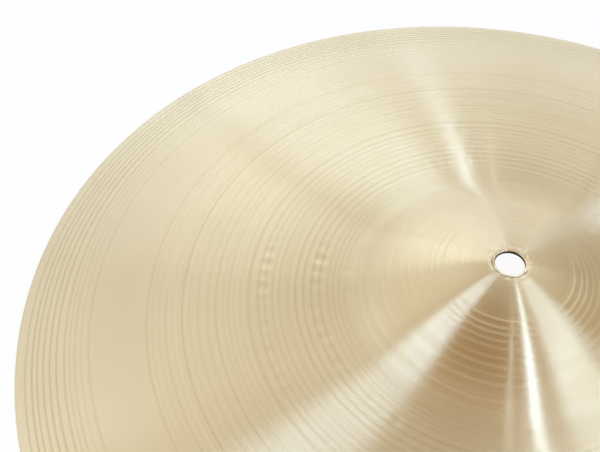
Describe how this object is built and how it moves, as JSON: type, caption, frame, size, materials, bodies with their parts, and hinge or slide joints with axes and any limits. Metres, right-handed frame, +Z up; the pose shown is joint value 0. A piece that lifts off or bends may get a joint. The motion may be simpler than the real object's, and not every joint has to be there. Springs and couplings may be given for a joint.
{
  "type": "suspended cymbal",
  "caption": "Round bronze plate with a domed bell, a small centre hole, lathe-turned rings and a shallow bow that curves down to a thin rim.",
  "frame": {"origin": "centre of the rim's underside, which is the plane that the plate rests on when it lies mouth down", "axes": "+Z up along the axis of the centre hole, out of the crown of the bell; the plate is round, so +X and +Y are any two square directions across it"},
  "size_m": [0.4064, 0.4064, 0.0438],
  "materials": {
    "bronze": "cast bell bronze, lathe turned in fine rings on both faces, with shallow hammer marks"
  },
  "bodies": {
    "root": {"cymbal": "bronze"}
  },
  "joints": []
}
